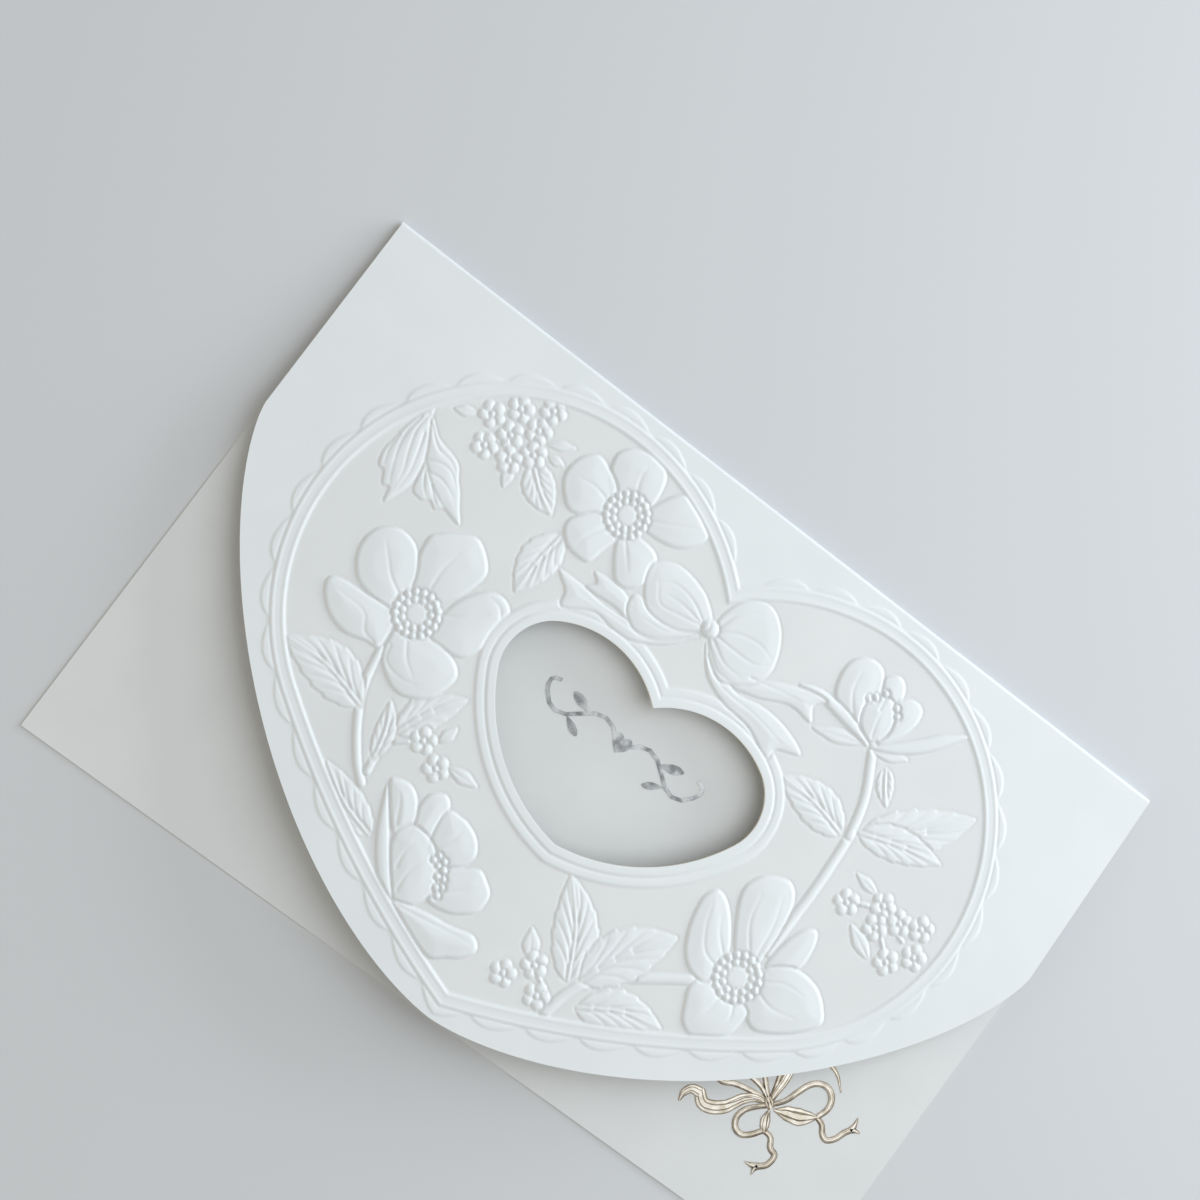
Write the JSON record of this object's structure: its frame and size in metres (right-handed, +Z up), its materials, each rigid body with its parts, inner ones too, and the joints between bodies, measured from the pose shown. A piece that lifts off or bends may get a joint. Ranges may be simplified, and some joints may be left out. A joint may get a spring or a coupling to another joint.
{
  "type": "wedding invitation card",
  "caption": "Folded off-white card with a rounded front flap, a die-cut heart window, an embossed floral heart and foil ornament on the back panel.",
  "frame": {"origin": "middle of the back panel's lower face, on the surface that the card lies on, at the bottom centre of the bounding box", "axes": "+X along the fold, +Y toward the fold, +Z up out of the front of the card"},
  "size_m": [0.216, 0.137, 0.0116],
  "materials": {
    "card_stock": "smooth uncoated off-white card with a fine felt grain and a faint pearl sheen",
    "champagne_foil": "stamped champagne foil, satin",
    "silver_foil": "stamped silver foil, satin"
  },
  "bodies": {
    "root": {"card": "card_stock", "foil_bow": "champagne_foil", "foil_flourish": "silver_foil"}
  },
  "joints": []
}
